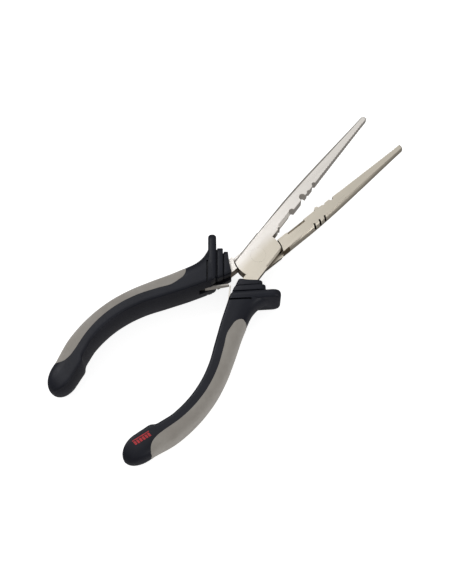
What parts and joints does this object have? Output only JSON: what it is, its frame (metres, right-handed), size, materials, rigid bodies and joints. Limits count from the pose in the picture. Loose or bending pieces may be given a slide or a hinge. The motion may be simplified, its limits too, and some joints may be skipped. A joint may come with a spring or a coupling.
{
  "type": "fishing pliers",
  "caption": "Long-nose fishing pliers with a lap joint, side cutter, crimper, leaf springs and two-tone guarded grips.",
  "frame": {"origin": "on the pivot axis, at the middle of the joint's thickness", "axes": "+X along the tool towards the jaw tips, midway between the jaws; +Y towards the handle whose half is the lower lap; +Z along the pivot axis, up out of the upper lap"},
  "size_m": [0.2129, 0.0738, 0.021],
  "materials": {
    "steel": "satin nickel plate",
    "spring_steel": "brushed",
    "grip_black": "fine moulded texture",
    "insert_grey": "soft matt rubber",
    "print_red": "pad print"
  },
  "bodies": {
    "lower_side": {"lower_half": "steel", "pivot_rivet": "steel", "left_grip": "grip_black", "left_insert": "insert_grey", "left_leaf_pin": "spring_steel"},
    "upper_side": {"upper_half": "steel", "right_grip": "grip_black", "right_insert": "insert_grey", "right_leaf_pin": "spring_steel", "red_mark": "print_red"},
    "left_spring": {"left_leaf": "spring_steel"},
    "right_spring": {"right_leaf": "spring_steel"}
  },
  "joints": [
    {"name": "jaw_pivot", "type": "hinge", "parent": "lower_side", "child": "upper_side", "pos_m": [0, 0, 0], "axis": [0, 0, 1], "range_deg": [-13.4, 6.6], "stiffness_Nm_per_rad": 1},
    {"name": "left_leaf_flex", "type": "hinge", "parent": "lower_side", "child": "left_spring", "pos_m": [-0.03536, 0.01186, 0], "axis": [0, 0, 1], "range_deg": [-5.2, 10.4]},
    {"name": "right_leaf_flex", "type": "hinge", "parent": "upper_side", "child": "right_spring", "pos_m": [-0.03536, -0.01186, 0], "axis": [0, 0, 1], "range_deg": [-10.4, 5.2]}
  ],
  "couplings": [
    {"joint": "left_leaf_flex", "follows": "jaw_pivot", "ratio": -0.77},
    {"joint": "right_leaf_flex", "follows": "jaw_pivot", "ratio": 0.77}
  ]
}
